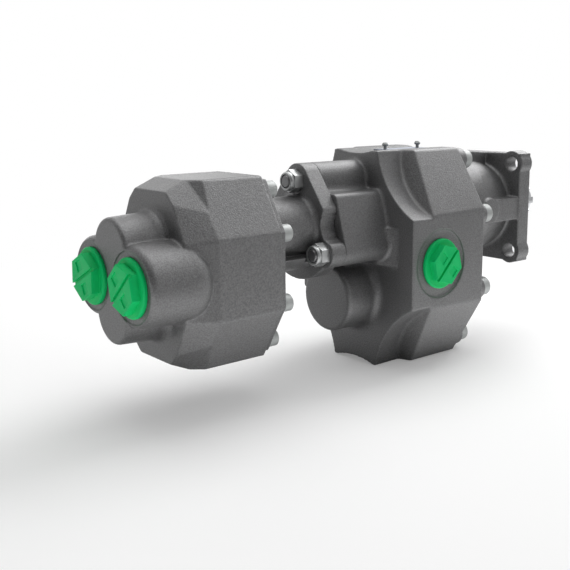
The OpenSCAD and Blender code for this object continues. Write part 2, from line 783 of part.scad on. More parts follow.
pocket_w = plug_hex_d * 0.22;
pocket_y = plug_hex_d * 0.245;
side_plug_turn = 45;
near_plug_turn = -47;
far_plug_turn = -63;
module near_side_plug() {
  translate([side_port_x, -front_side_w + spotface_depth, side_port_z]) rotate([90, 0, 0])
    port_plug(side_plug_turn);
}
module far_side_plug() {
  translate([side_port_x, front_side_w - spotface_depth, side_port_z]) rotate([-90, 0, 0])
    port_plug(side_plug_turn);
}
module near_rear_plug() {
  translate([rear_port_seat_x, -rear_port_y, rear_mid_z]) rotate([0, -90, 0]) port_plug(near_plug_turn);
}
module far_rear_plug() {
  translate([rear_port_seat_x, rear_port_y, rear_mid_z]) rotate([0, -90, 0]) port_plug(far_plug_turn);
}

// Bare name plate in the valley, and its two drive screws
module name_plate() {
  color([0.62, 0.64, 0.69]) difference() {
    translate([name_plate_x - plate_len / 2, -plate_w / 2, plate_seat_z]) cube([plate_len, plate_w, plate_t]);
    for (s = [-0.5, 0.5]) translate([name_plate_x + s * plate_screw_pitch, 0, valley_z])
      cylinder(h = 2 * plate_head_z, r = plate_screw_r + 0.2);
  }
}

module name_plate_screws() {
  color([0.6, 0.61, 0.63]) for (s = [-0.5, 0.5])
    translate([name_plate_x + s * plate_screw_pitch, 0, valley_z]) difference() {
      union() {
        translate([0, 0, 1 - plate_hole_depth])
          cylinder(h = plate_hole_depth + plate_head_z, r = plate_screw_r);
        translate([0, 0, plate_head_z - 1.6])
          cylinder(h = 1.6, r1 = 2 * plate_screw_r - 0.6, r2 = 2 * plate_screw_r);
        translate([0, 0, plate_head_z])
          cylinder(h = 1.4, r1 = 2 * plate_screw_r, r2 = plate_screw_r + 0.4);
      }
      translate([-4, -0.4, plate_head_z + 0.6]) cube([8, 0.8, 2]);
    }
}

// Tandem joint

module stud_nut() {
  difference() {
    intersection() {
      union() {
        translate([tandem_back_x - nut_h * 0.72, 0, 0]) rotate([0, 90, 0])
          cylinder(h = nut_h * 0.72, r = nut_flats / sqrt(3), $fn = 6);
        rod(tandem_back_x - nut_h, tandem_back_x - nut_h * 0.7, nut_flats / 2 - 0.4);
      }
      cone(tandem_back_x - nut_h, tandem_back_x, nut_flats / 2 - 1.2, nut_flats / 2 + nut_h * 0.62);
    }
    rod(tandem_back_x - nut_h - over, tandem_back_x + over, stud_d / 2 + seat_gap);
    rod(tandem_back_x - nut_h - over, tandem_back_x - nut_h + 2.6, stud_d / 2 + 1.2);
  }
}

module tandem_nuts() {
  color([0.7, 0.71, 0.72]) stud_places() stud_nut();
}

module nut_locking_rings() {
  color([0.12, 0.12, 0.13]) stud_places() difference() {
    rod(tandem_back_x - nut_h + 0.7, tandem_back_x - nut_h + 2.6, stud_d / 2 + 1.2 - seat_gap);
    rod(tandem_back_x - nut_h - over, tandem_back_x, stud_d / 2 + seat_gap);
  }
}

module tandem_studs() {
  color([0.36, 0.37, 0.38]) stud_places() {
    rod(tandem_back_x - nut_h + 0.5, tandem_x + stud_depth, stud_d / 2);
    cone(tandem_back_x - nut_h - 0.4, tandem_back_x - nut_h + 0.5, stud_d / 2 - 0.9, stud_d / 2);
  }
}

module tandem_flange_outline() {
  difference() {
    union() {
      hull() {
        translate([0, stud_z]) circle(r = lug_r);
        for (s = [-1, 1]) translate([s * 27.4, 15]) circle(r = 4);
      }
      circle(r = 32);
      intersection() {
        circle(r = flange_round_r);
        translate([-flange_round_r, -flange_round_r - 14]) square([2 * flange_round_r, flange_round_r]);
      }
      for (s = [-1, 1]) rotate(s * 120) translate([0, stud_circle_r]) circle(r = low_lug_r);
    }
    for (s = [-1, 1]) translate([s * scallop_y, scallop_z]) circle(r = scallop_r);
  }
}

module tandem_spigot_seal() {
  color([0.08, 0.08, 0.08]) difference() {
    rod(tandem_x + 0.8, tandem_x + 0.8 + 1.6, spigot_r - cord_gap);
    rod(tandem_x, tandem_x + 4, spigot_r - 1.6 + cord_gap);
  }
}

module shaft_coupling() {
  color([0.4, 0.41, 0.43]) difference() {
    rod(coupling_rear_x, coupling_front_x, coupling_r);
    spline_rod(coupling_rear_x - over, coupling_front_x + over, stub_r - 1.5 + run_gap * 2,
      stub_r + run_gap * 2, 4 + run_gap * 4, 6);
  }
}

// Rear pump

function rear_joint_outline() = mirrored([[rear_top_w, rear_top_h], [rear_side_w, rear_side_h]]);
function rear_rim_outline() = mirrored([
  [rear_top_w - 6.8, rear_top_h - 7.2], [rear_top_w + 1.3, rear_top_h - 14.8],
  [rear_side_w - 8.1, rear_side_h - 2]
]);
rear_screw_at = [
  [rear_top_w - 4.5, rear_top_h - 11], [rear_side_w - 10, rear_side_h - 2.5]
];
rear_dowel_y = rear_side_w - 12;

module rear_screw_places() {
  four_corners(rear_mid_z) for (p = rear_screw_at) translate([0, p[0], p[1]]) children();
}

// Outline of the bevelled band where it meets the body: the slanted corners sit lower
function rear_slant(t) =
  [rear_top_w + t * (rear_side_w - rear_top_w), rear_top_h + t * (rear_side_h - rear_top_h)];
function rear_band_outline() = mirrored([
  [rear_top_w - 7.6, rear_top_h], rear_slant(0.54), [rear_side_w, rear_side_h]
]);
function rear_band_x(p) = rear_rim_x + (abs(p[1]) > rear_top_h - rear_edge_r - 1 ? rear_bevel_len
  : abs(p[1]) > rear_side_h + 5 ? rear_band_len - 1.5 : rear_band_len);

// Lobe with a rounded rim, which may end in a round shoulder inside the body
module lobe(x1, r0, r1, rim, shoulder, y, z) {
  turned(y, z) {
    polygon([[0, rear_end_x + rim], [r0, rear_end_x + rim], [r1, x1], [0, x1]]);
    translate([0, rear_end_x]) square([r0 - rim, 2 * rim]);
    translate([r0 - rim, rear_end_x + rim]) circle(r = rim);
    translate([0, x1 - thin]) square([r1 - shoulder, shoulder]);
    intersection() {
      translate([r1 - shoulder, x1]) circle(r = shoulder);
      translate([0, x1 - thin]) square([r1, shoulder + over]);
    }
  }
}

module rear_casting() {
  difference() {
    hull() {
      for (p = inset(rear_joint_outline(), rear_edge_r)) {
        rod(rear_band_x(p), rear_band_x(p) + thin, rear_edge_r, p[0], rear_mid_z + p[1], $fn = 32);
        rod(rear_joint_x - thin, rear_joint_x, rear_edge_r, p[0], rear_mid_z + p[1], $fn = 32);
      }
    }
    four_corners(rear_mid_z)
      behind_step([rear_rim_x + rear_step_x, rear_top_w, rear_top_h], -rear_step_turn, rear_step_tilt);
  }
  hull() {
    for (p = inset(rear_rim_outline(), rear_edge_r))
      rod(rear_rim_x, rear_rim_x + thin, rear_edge_r, p[0], rear_mid_z + p[1], $fn = 32);
    for (p = inset(rear_band_outline(), rear_edge_r))
      rod(rear_band_x(p), rear_band_x(p) + 1.6, rear_edge_r, p[0], rear_mid_z + p[1], $fn = 32);
  }
  for (z = [0, -rear_centre]) {
    lobe(rear_rim_x + over, bearing_lobe_r - 1, bearing_lobe_r + 0.6, 3, over, 0, z);
    cast_fillet(rear_rim_x, bearing_lobe_r + 0.4, 5, -1, 0, z);
  }
  for (s = [-1, 1])
    lobe(rear_rim_x + 4, port_lobe_r, port_lobe_r + 0.6, 6, 16, s * rear_port_y, rear_mid_z);
}

module rear_body() {
  color([0.43, 0.43, 0.44]) difference() {
    rear_casting();
    along_x(rear_chamber_x, rear_joint_x - rear_chamber_x + over) figure_eight(rear_chamber_r, rear_centre);
    for (z = [0, -rear_centre]) rod(rear_chamber_x - rear_bearing_len, rear_chamber_x + over,
      rear_journal_r + bush_t + seat_gap, 0, z);
    for (s = [-1, 1]) {
      rod(rear_end_x - over, rear_port_seat_x, rear_spotface_r, s * rear_port_y, rear_mid_z);
      rod(rear_end_x - over, rear_port_seat_x + plug_stub_len + 4, port_r, s * rear_port_y, rear_mid_z);
      rod(rear_port_seat_x, rear_gear_x - 2, 9, s * rear_port_y, rear_mid_z);
      translate([rear_gear_x - rear_gear_w + 3, s > 0 ? 5 : -rear_port_y, rear_mid_z - 8])
        cube([rear_gear_w - 5, rear_port_y - 5, 16]);
    }
    rear_screw_places() rod(rear_joint_x - rear_screw_reach - 2, rear_joint_x + over,
      rear_screw_d / 2 + seat_gap);
    dowel_holes(rear_joint_x - dowel_len / 2, rear_joint_x + over, rear_dowel_y, rear_mid_z);
    along_x(rear_joint_x - cord_d * 0.8, cord_d)
      eight_ring(rear_chamber_r + 2.5, rear_chamber_r + 2.5 + cord_d, rear_centre);
  }
}

module rear_cover_casting() {
  along_x(rear_joint_x, rear_plate_t) {
    translate([0, rear_mid_z]) polygon(inset(rear_joint_outline(), 3));
  }
  rod(rear_joint_x + over, tandem_back_x + over, tandem_neck_r);
  cast_fillet(tandem_back_x, tandem_neck_r, 4, -1);
  cast_fillet(rear_joint_x + rear_plate_t, tandem_neck_r, 4, 1);
  // saddle under the neck, as wide as the lower lugs
  intersection() {
    rod(rear_joint_x + over, tandem_back_x + over, saddle_r);
    translate([rear_joint_x, -saddle_r, -saddle_r - over])
      cube([tandem_neck_len + 2 * rear_plate_t, 2 * saddle_r, saddle_r + over + saddle_z]);
  }
  along_x(tandem_back_x, tandem_flange_t) tandem_flange_outline();
  rod(tandem_x - over, tandem_x + spigot_h, spigot_r);
}

module rear_cover() {
  color([0.45, 0.45, 0.46]) difference() {
    rear_cover_casting();
    rod(rear_joint_x - over, tandem_x, rear_journal_r + 0.8);
    rod(rear_seal_x - seal_w - seat_gap, tandem_x + over, rear_seal_r + seat_gap);
    rod(rear_seal_x + seat_gap, rear_seal_x + seat_gap + ring_t + 0.1, rear_seal_r + 1.3);
    rod(rear_seal_x + 4, tandem_x + spigot_h + over, coupling_r + 2);
    difference() {
      rod(tandem_x + 0.8 - cord_gap, tandem_x + 2.4 + cord_gap, spigot_r + over);
      rod(tandem_x, tandem_x + 4, spigot_r - 1.6);
    }
    stud_places() rod(tandem_back_x - over, tandem_x + over, stud_d / 2 + screw_gap);
    stud_places() rod(tandem_back_x - 12, tandem_back_x, nut_flats / 2 + 2.4);
    rear_screw_places() {
      rod(rear_joint_x - over, neck_end_x + over, rear_screw_d / 2 + screw_gap);
      rod(neck_end_x, neck_end_x + rear_head_h + 4, rear_screw_d * 0.8 + 1);
    }
    dowel_holes(rear_joint_x - over, rear_joint_x + rear_plate_t + over, rear_dowel_y, rear_mid_z);
  }
}

module rear_cover_screws() {
  color([0.66, 0.67, 0.67]) rear_screw_places()
    socket_screw(neck_end_x, rear_screw_d, rear_plate_t + rear_screw_reach);
}

module rear_dowel_pins() {
  color([0.6, 0.6, 0.62]) for (s = [-1, 1])
    rod(rear_joint_x - dowel_len / 2 + 0.2, rear_joint_x + rear_plate_t - 0.2, dowel_d / 2,
      s * rear_dowel_y, rear_mid_z);
}

module rear_drive_gear() {
  color([0.62, 0.63, 0.65]) {
    gear_teeth_body(rear_gear_x, rear_gear_w, rear_centre, rear_tip_r, rear_module, 90, 0);
    rod(rear_chamber_x - rear_bearing_len + 1, rear_joint_x, rear_journal_r);
    rod(rear_joint_x - over, coupling_rear_x, rear_journal_r);
    spline_rod(coupling_rear_x - over, coupling_rear_x + stub_out - 1, stub_r - 1.5, stub_r, 4, 6);
  }
}

module rear_driven_gear() {
  color([0.62, 0.63, 0.65]) {
    gear_teeth_body(rear_gear_x, rear_gear_w, rear_centre, rear_tip_r, rear_module,
      90 + 180 / gear_teeth, -rear_centre);
    rod(rear_chamber_x - rear_bearing_len + 1, rear_joint_x - 1, rear_journal_r, 0, -rear_centre);
  }
}

module rear_bearing_block() {
  color([0.72, 0.73, 0.75]) bearing_block(rear_joint_x, rear_block_t, rear_chamber_r,
    rear_centre, rear_journal_r + bush_t);
}

module rear_block_liners() {
  color([0.72, 0.53, 0.3]) liners(rear_joint_x - rear_block_t, rear_joint_x, rear_journal_r, rear_centre);
}

module rear_rear_bushes() {
  color([0.72, 0.53, 0.3]) liners(rear_chamber_x - rear_bearing_len, rear_chamber_x - 0.2,
    rear_journal_r, rear_centre);
}

module rear_wear_plate() {
  color([0.75, 0.58, 0.35]) wear_plate(rear_chamber_x, rear_chamber_r, rear_centre, rear_journal_r);
}

module rear_body_seal() {
  color([0.08, 0.08, 0.08]) along_x(rear_joint_x - cord_d * 0.8 + cord_gap, cord_d * 0.8 - cord_gap)
    eight_ring(rear_chamber_r + 2.5 + cord_gap, rear_chamber_r + 2.5 + cord_d - cord_gap, rear_centre);
}

module rear_pressure_seal() {
  color([0.08, 0.08, 0.08]) along_x(rear_joint_x - pressure_cord_t, pressure_cord_t)
    bore_ring(rear_centre, cord_gap);
}

module rear_shaft_seal() {
  color([0.1, 0.1, 0.1]) lip_seal(rear_seal_x, rear_seal_r, rear_journal_r + run_gap);
}

module rear_seal_ring() {
  color([0.3, 0.3, 0.32]) retaining_ring(rear_seal_x + seat_gap + 0.05, rear_seal_r + 1.2, rear_seal_r - 1.5);
}

front_body();
front_cover();
front_drive_gear();
front_driven_gear();
front_bearing_block();
front_block_liners();
front_rear_bushes();
front_wear_plate();
front_body_seal();
front_pressure_seal();
front_cover_screws();
front_dowel_pins();
input_shaft_seal();
input_seal_ring();
near_side_plug();
far_side_plug();
name_plate();
name_plate_screws();
shaft_coupling();
tandem_studs();
tandem_nuts();
nut_locking_rings();
tandem_spigot_seal();
rear_body();
rear_cover();
rear_drive_gear();
rear_driven_gear();
rear_bearing_block();
rear_block_liners();
rear_rear_bushes();
rear_wear_plate();
rear_body_seal();
rear_pressure_seal();
rear_cover_screws();
rear_dowel_pins();
rear_shaft_seal();
rear_seal_ring();
near_rear_plug();
far_rear_plug();
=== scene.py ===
"""Looks of the tandem hydraulic gear pump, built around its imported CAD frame."""

import json
import math

import bmesh
import bpy
import numpy as np
from bpy.props import FloatProperty, FloatVectorProperty, IntProperty, PointerProperty
from mathutils import Matrix, Vector


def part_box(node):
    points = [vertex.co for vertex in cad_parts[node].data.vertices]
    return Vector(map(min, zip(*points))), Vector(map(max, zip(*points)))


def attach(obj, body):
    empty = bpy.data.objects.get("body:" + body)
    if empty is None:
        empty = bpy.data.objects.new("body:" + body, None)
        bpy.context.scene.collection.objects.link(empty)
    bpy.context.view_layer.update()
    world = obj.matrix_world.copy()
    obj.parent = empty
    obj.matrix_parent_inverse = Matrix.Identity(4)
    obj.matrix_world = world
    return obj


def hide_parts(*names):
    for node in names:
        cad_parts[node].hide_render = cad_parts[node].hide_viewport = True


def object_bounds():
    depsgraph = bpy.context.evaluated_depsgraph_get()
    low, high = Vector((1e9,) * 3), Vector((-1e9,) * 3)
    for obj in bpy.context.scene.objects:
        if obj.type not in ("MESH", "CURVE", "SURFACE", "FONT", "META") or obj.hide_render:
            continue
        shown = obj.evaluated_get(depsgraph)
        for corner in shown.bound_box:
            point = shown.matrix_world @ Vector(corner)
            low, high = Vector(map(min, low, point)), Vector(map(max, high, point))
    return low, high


bl_info = {
    "name": "Tandem Gear Pump",
    "version": (1, 0, 0),
    "blender": (4, 5, 0),
    "location": "3D View > Sidebar > Gear Pump",
    "description": "Dresses a tandem hydraulic gear pump: castings, steel parts, plugs and stage",
    "category": "Object",
}

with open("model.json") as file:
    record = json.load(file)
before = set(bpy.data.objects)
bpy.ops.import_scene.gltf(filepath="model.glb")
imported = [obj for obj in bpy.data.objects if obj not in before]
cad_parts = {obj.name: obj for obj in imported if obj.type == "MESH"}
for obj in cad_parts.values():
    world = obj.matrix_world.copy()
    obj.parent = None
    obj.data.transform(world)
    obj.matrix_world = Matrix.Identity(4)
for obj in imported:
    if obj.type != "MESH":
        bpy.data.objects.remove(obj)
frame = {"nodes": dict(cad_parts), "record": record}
NODES = frame["nodes"]
CAD_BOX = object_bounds()
SLOT_OF = {part["node"]: part["material_slot"] for part in frame["record"]["subparts"]}
BODY_OF = {
    name: body for body, names in frame["record"]["behaviour"]["bodies"].items() for name in names
}

MM = 0.001
WELD = 2e-6  # metres, points nearer than this become one

# Axes and faces of the two pumps, in millimetres, as the CAD has them
FRONT_CENTRE = 62.0  # from the front pump's drive axis to its driven axis
REAR_CENTRE = 43.0  # the same in the rear pump
FRONT_MID_Z = -FRONT_CENTRE / 2
REAR_MID_Z = -REAR_CENTRE / 2
FRONT_JOINT_X = -88.0  # between the front cover and the front body
TANDEM_X = -222.0  # between the two pumps
TANDEM_BACK_X = -236.0  # where the lock nuts sit
REAR_JOINT_X = -291.0  # between the rear cover and the rear body
REAR_END_X = -398.0  # the rear body's far end, at its port lobes
STUD_CIRCLE = 36.0  # radius on which the three tandem studs stand
FLANGE_HOLE = 40.0  # from the drive axis to a flange hole, along Y and along Z

# Machined zones on the castings, in millimetres
PAST = 1.0  # how far a zone runs past a face
FACE_SKIN = 0.8  # how deep a face is held
DOWEL_DEPTH = 9.0
DOWEL_ZONE = 5.5
PORT_ZONE = 18.5

# How hollows are found on a casting
SPREAD_SHARE = 0.6  # part of a point's value that its neighbours give in one pass
WIDE_PASSES = 14  # for the form round a point
NEAR_PASSES = 6  # for its normal and for the edges of a zone
HOLLOW_DEPTH = 0.35  # millimetres between a point and the form round it in a full hollow
HOLLOW_GAIN = 1.8
HOLLOW_START = 0.1
HELD_MARGIN = 3.0  # widens the band beside a machined zone that no fillet enters
GROUP_STEPS = 4
SOFTEN_FACTOR = 0.5

# Edges of the crisp pieces, in degrees
FLAT_ANGLE = 0.5  # faces that lie flatter than this are joined
BREAK_ANGLE = 30.0  # edges sharper than this are broken
SHARP_ANGLE = 20.0  # edges sharper than this are shaded sharp

# Widths of the broken edges, in millimetres
SCREW_BREAK = 0.35
NUT_BREAK = 0.3
PLUG_BREAK = 0.25
PLATE_BREAK = 0.15
BREAK_SEGMENTS = 2

# Section of a lock nut's rolled lip: (distance from the nut's end, radius), in millimetres
LIP_SECTION = ((0.05, 6.5), (0.05, 5.9), (0.2, 5.5), (0.5, 5.4), (0.75, 5.6), (0.75, 6.5))
LIP_STEPS = 48

# The camera as solved, in pixels of a square picture
PICTURE = 570
FOCAL = 842.9
OPTICAL_CENTRE = (305.4, 244.9)
SENSOR = 36  # millimetres

# The stage, in metres
WHITE = (1, 1, 1, 1)
PUMP_MIDDLE = (-0.2, 0.0, -0.03)
FLOOR_GAP = 0.0005
FLOOR_HALF = 6.0
FLOOR_GREY = (0.76, 0.76, 0.76, 1)
FLOOR_GLOW = 0.24
FADE_CENTRE_X = -0.22
FADE_TO_WHITE = (0.35, 0.62)  # from the fade's centre, as the camera sees it
STRIP_START = (0.03, 0.08)  # in front of the drive axis
STRIP_END = (0.12, 0.3)
TAIL_START = (0.42, 0.52)  # behind the flange's face
TAIL_SHARE = 0.5
GLOSS_EXTRA = 0.45  # added to the room's strength for glossy rays
DARK_ZONE = (0.1, 0.8)  # cosines of the angle from the camera's side

# Softboxes: the setting with the power, the place and the side
SOFTBOXES = (
    ("top", (-0.15, 0.1, 1.2), 1.4),
    ("front", (-0.2, -1.0, 0.9), 1.0),
    ("right", (0.9, 0.2, 0.9), 1.0),
    ("back", (0.1, 1.3, 0.3), 0.9),
)


# Small helpers


def link(obj):
    """Puts an object into the scene."""
    bpy.context.scene.collection.objects.link(obj)
    return obj


def merged_copy(node, name):
    """A copy of a CAD node's mesh with its loose triangles joined."""
    mesh = NODES[node].data.copy()
    mesh.name = name
    form = bmesh.new()
    form.from_mesh(mesh)
    bmesh.ops.remove_doubles(form, verts=form.verts, dist=WELD)
    form.to_mesh(mesh)
    form.free()
    mesh.materials.clear()
    return link(bpy.data.objects.new(name, mesh))


def apply_modifiers(obj):
    """Bakes an object's modifiers into its mesh."""
    graph = bpy.context.evaluated_depsgraph_get()
    baked = bpy.data.meshes.new_from_object(obj.evaluated_get(graph))
    obj.modifiers.clear()
    old = obj.data
    obj.data = baked
    bpy.data.meshes.remove(old)
    return obj


def coordinates(mesh):
    """The mesh's points as an array in millimetres."""
    flat = np.empty(len(mesh.vertices) * 3, dtype=np.float32)
    mesh.vertices.foreach_get("co", flat)
    return flat.reshape(-1, 3).astype(float) / MM


def near_axis(points, axis, centre, radius, low, high):
    """Which points lie within a rod along one axis, between two stations."""
    others = [i for i in range(3) if i != axis]
    gap = np.hypot(points[:, others[0]] - centre[0], points[:, others[1]] - centre[1])
    along = points[:, axis]
    return (gap < radius) & (along > low) & (along < high)


def stud_places():
    """The (y, z) places of the three tandem studs."""
    turns = [math.radians(a) for a in (0, 120, 240)]
    return [(-STUD_CIRCLE * math.sin(a), STUD_CIRCLE * math.cos(a)) for a in turns]


def centre_of(node):
    """The middle of a CAD node's box, in millimetres."""
    low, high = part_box(node)
    return (low + high) / 2 / MM


def axes_of(node):
    """The (y, z) axes of a node's separate pieces, from the middles of their loose parts."""
    form = bmesh.new()
    form.from_mesh(NODES[node].data)
    bmesh.ops.remove_doubles(form, verts=form.verts, dist=WELD)
    seen, axes = set(), []
    for start in form.verts:
        if start.index in seen:
            continue
        stack, island = [start], []
        seen.add(start.index)
        while stack:
            point = stack.pop()
            island.append(point.co.copy())
            for edge in point.link_edges:
                other = edge.other_vert(point)
                if other.index not in seen:
                    seen.add(other.index)
                    stack.append(other)
        ys = [c.y / MM for c in island]
        zs = [c.z / MM for c in island]
        axes.append(((min(ys) + max(ys)) / 2, (min(zs) + max(zs)) / 2))
    form.free()
    return axes


def inner_screw_zone(points, node, radius):
    """Which points lie round the axes of the loose pieces of a node that run along X."""
    found = np.zeros(len(points), dtype=bool)
    for y, z in axes_of(node):
        found |= np.hypot(points[:, 1] - y, points[:, 2] - z) < radius
    return found


def add_group(obj, name, weights):
    """Stores a weight for every point in a vertex group, in a few even steps."""
    group = obj.vertex_groups.new(name=name)
    steps = np.clip(np.round(weights * GROUP_STEPS), 0, GROUP_STEPS).astype(int)
    for step in range(1, GROUP_STEPS + 1):
        members = np.nonzero(steps == step)[0].tolist()
        if members:
            group.add(members, step / GROUP_STEPS, "REPLACE")


def shade_smooth(mesh):
    """Shades every face of a mesh smooth."""
    for face in mesh.polygons:
        face.use_smooth = True


# Shader maths


class Signal:
    """A shader number or constant: arithmetic on it adds Math nodes."""

    def __init__(self, shader, socket):
        self.shader = shader
        self.socket = socket

    def maths(self, operation, *values):
        return self.shader.make("ShaderNodeMath", {"operation": operation}, dict(enumerate(values)))

    def __add__(self, other):
        return self.maths("ADD", self, other)

    def __radd__(self, other):
        return self.maths("ADD", other, self)

    def __sub__(self, other):
        return self.maths("SUBTRACT", self, other)

    def __rsub__(self, other):
        return self.maths("SUBTRACT", other, self)

    def __mul__(self, other):
        return self.maths("MULTIPLY", self, other)

    def root(self):
        return self.maths("SQRT", self)

    def sine(self):
        return self.maths("SINE", self)

    def rise(self, low, high):
        """Runs smoothly from 0 at low to 1 at high."""
        return self.shader.make(
            "ShaderNodeMapRange",
            {"interpolation_type": "SMOOTHSTEP", "clamp": True},
            {"Value": self, "From Min": low, "From Max": high, "To Min": 0.0, "To Max": 1.0},
        )


class Shader:
    """Builds one material's or the world's nodes."""

    def __init__(self, owner):
        owner.use_nodes = True
        self.tree = owner.node_tree
        self.tree.nodes.clear()

    def node(self, kind, settings=None, inputs=None):
        made = self.tree.nodes.new(kind)
        for key, value in (settings or {}).items():
            setattr(made, key, value)
        for key, value in (inputs or {}).items():
            if isinstance(value, Signal):
                value = value.socket
            if isinstance(value, bpy.types.NodeSocket):
                self.tree.links.new(value, made.inputs[key])
            else:
                made.inputs[key].default_value = value
        return made

    def make(self, kind, settings=None, inputs=None, output=0):
        return Signal(self, self.node(kind, settings, inputs).outputs[output])

    def place(self):
        """Object coordinates, in metres, of the point being shaded."""
        return self.make("ShaderNodeTexCoord", output="Object")

    def parts(self, vector):
        split = self.node("ShaderNodeSeparateXYZ", None, {0: vector})
        return [Signal(self, split.outputs[i]) for i in range(3)]

    def noise(self, vector, scale, detail=2.0, rough=0.5, warp=0.0):
        return self.make(
            "ShaderNodeTexNoise",
            None,
            {
                "Vector": vector,
                "Scale": scale,
                "Detail": detail,
                "Roughness": rough,
                "Distortion": warp,
            },
        )

    def stretch(self, vector, scale):
        return self.make("ShaderNodeVectorMath", {"operation": "MULTIPLY"}, {0: vector, 1: scale})

    def blend(self, factor, first, second):
        """Mixes two colours."""
        made = self.node("ShaderNodeMix", {"data_type": "RGBA"}, {"Factor": factor})
        for socket, value in ((made.inputs[6], first), (made.inputs[7], second)):
            if isinstance(value, Signal):
                self.tree.links.new(value.socket, socket)
            else:
                socket.default_value = (*value[:3], 1.0)
        return Signal(self, made.outputs[2])

    def bump(self, height, distance, strength=1.0, below=None):
        inputs = {"Height": height, "Distance": distance, "Strength": strength}
        if below is not None:
            inputs["Normal"] = below
        return self.make("ShaderNodeBump", None, inputs)

    def glow(self, strength):
        """White light of its own."""
        return self.node("ShaderNodeEmission", None, {"Color": WHITE, "Strength": strength})

    def mix(self, factor, first, second):
        """Mixes the first outputs of two shader nodes."""
        inputs = {0: factor, 1: first.outputs[0], 2: second.outputs[0]}
        return self.node("ShaderNodeMixShader", None, inputs)

    def surface(self, inputs):
        body = self.node("ShaderNodeBsdfPrincipled", None, inputs)
        self.node("ShaderNodeOutputMaterial", None, {"Surface": body.outputs[0]})


def new_material(name):
    """An empty material and the builder of its nodes."""
    material = bpy.data.materials.new(name)
    return material, Shader(material)


# Finishes: noise scales count waves per metre, bump distances are in metres


def shade(colour, factor):
    """A colour made darker or lighter, as a tuple."""
    return tuple(min(1.0, part * factor) for part in colour)


def cast_iron(finish):
    """Oiled grey iron from a fine sand mould: fine grain, faint mottling, satin gloss."""
    material, s = new_material("cast grey iron")
    place = s.place()
    grain = s.noise(place, 1000.0, detail=2.0, rough=0.6)
    pebble = s.noise(place, 330.0, detail=2.0, rough=0.55)
    cloud = s.noise(place, 28.0, detail=3.0, rough=0.6)
    tone = grain.rise(0.3, 0.7) * 0.6 + pebble * 0.15 + cloud * 0.25
    coarse = s.bump(pebble, distance=0.0006, strength=0.2)
    s.surface(
        {
            "Base Color": s.blend(tone, shade(finish.iron, 0.66), shade(finish.iron, 1.30)),
            "Roughness": 0.40 + grain * 0.10 + cloud * 0.08,
            "Metallic": 0.7,
            "Normal": s.bump(grain, distance=0.0003, strength=0.8, below=coarse),
        }
    )
    return material


def plated_steel(finish):
    """Pale zinc plate on the screws: matt, with faint clouds."""
    material, s = new_material("zinc plated steel")
    place = s.place()
    cloud = s.noise(place, 160.0, detail=3.0, rough=0.6)
    speck = s.noise(place, 1500.0, detail=1.0)
    tone = cloud.rise(0.3, 0.7)
    s.surface(
        {
            "Base Color": s.blend(tone, shade(finish.zinc, 0.88), shade(finish.zinc, 1)),
            "Roughness": 0.46 + cloud * 0.12,
            "Metallic": 0.5,
            "Normal": s.bump(speck, distance=0.0001, strength=0.3),
        }
    )
    return material


def nut_steel(finish):
    """Bright zinc of the lock nuts, glossier than the screws."""
    material, s = new_material("bright zinc steel")
    place = s.place()
    cloud = s.noise(place, 220.0, detail=3.0, rough=0.6)
    s.surface(
        {
            "Base Color": s.blend(cloud, shade(finish.nuts, 0.8), shade(finish.nuts, 1)),
            "Roughness": 0.34 + cloud * 0.14,
            "Metallic": 0.85,
            "Normal": s.bump(cloud, distance=0.0002, strength=0.2),
        }
    )
    return material


def turned_steel(finish):
    """Ground and hobbed steel with fine turning marks along the shaft's axis."""
    material, s = new_material("machined steel")
    place = s.place()
    along = s.parts(place)[0]
    rings = (along * 9000.0 + s.noise(place, 60.0) * 4.0).sine()
    tone = s.noise(place, 90.0, detail=3.0)
    s.surface(
        {
            "Base Color": s.blend(tone, shade(finish.steel, 0.85), shade(finish.steel, 1)),
            "Roughness": 0.22 + tone * 0.14,
            "Metallic": 1.0,
            "Normal": s.bump(rings, distance=0.00004, strength=0.35),
        }
    )
    return material


def dark_steel(finish):
    """Phosphated steel, dark and lightly oiled."""
    material, s = new_material("dark oiled steel")
    place = s.place()
    tone = s.noise(place, 240.0, detail=3.0)
    colour = finish.dark_steel
    s.surface(
        {
            "Base Color": s.blend(tone, shade(colour, 0.7), shade(colour, 1.2)),
            "Roughness": 0.34 + tone * 0.16,
            "Metallic": 0.8,
            "Normal": s.bump(tone, distance=0.0002, strength=0.3),
        }
    )
    return material


def green_plastic(finish):
    """Moulded plastic of the port plugs: even colour, slight sheen and a trace of flow."""
    material, s = new_material("green moulded plastic")
    place = s.place()
    flow = s.noise(place, 70.0, detail=2.0, rough=0.5, warp=0.6)
    skin = s.noise(place, 1200.0, detail=1.0)
    s.surface(
        {
            "Base Color": s.blend(flow, shade(finish.plug, 0.86), shade(finish.plug, 1.06)),
            "Roughness": 0.45 + flow * 0.12,
            "Specular IOR Level": 0.14,
            "Normal": s.bump(skin, distance=0.0001, strength=0.25),
        }
    )
    return material


def plain(name, colour, roughness, metallic, scale):
    """A lightly clouded metal or rubber for the inner pieces."""
    material, s = new_material(name)
    place = s.place()
    tone = s.noise(place, scale, detail=3.0)
    grain = s.noise(place, scale * 7)
    s.surface(
        {
            "Base Color": s.blend(tone, shade(colour, 0.84), shade(colour, 1)),
            "Roughness": roughness + tone * 0.12,
            "Metallic": metallic,
            "Normal": s.bump(grain, distance=0.0001, strength=0.3),
        }
    )
    return material


def satin_plate(finish):
    """Bare bluish aluminium of the name plate, brushed along its length."""
    material, s = new_material("satin aluminium plate")
    place = s.place()
    brush = s.noise(s.stretch(place, (60.0, 2600.0, 2600.0)), 1.0, detail=2.0)
    s.surface(
        {
            "Base Color": s.blend(brush, shade(finish.plate, 0.86), shade(finish.plate, 1)),
            "Roughness": 0.30 + brush * 0.15,
            "Metallic": 0.9,
            "Normal": s.bump(brush, distance=0.00005, strength=0.3),
        }
    )
    return material


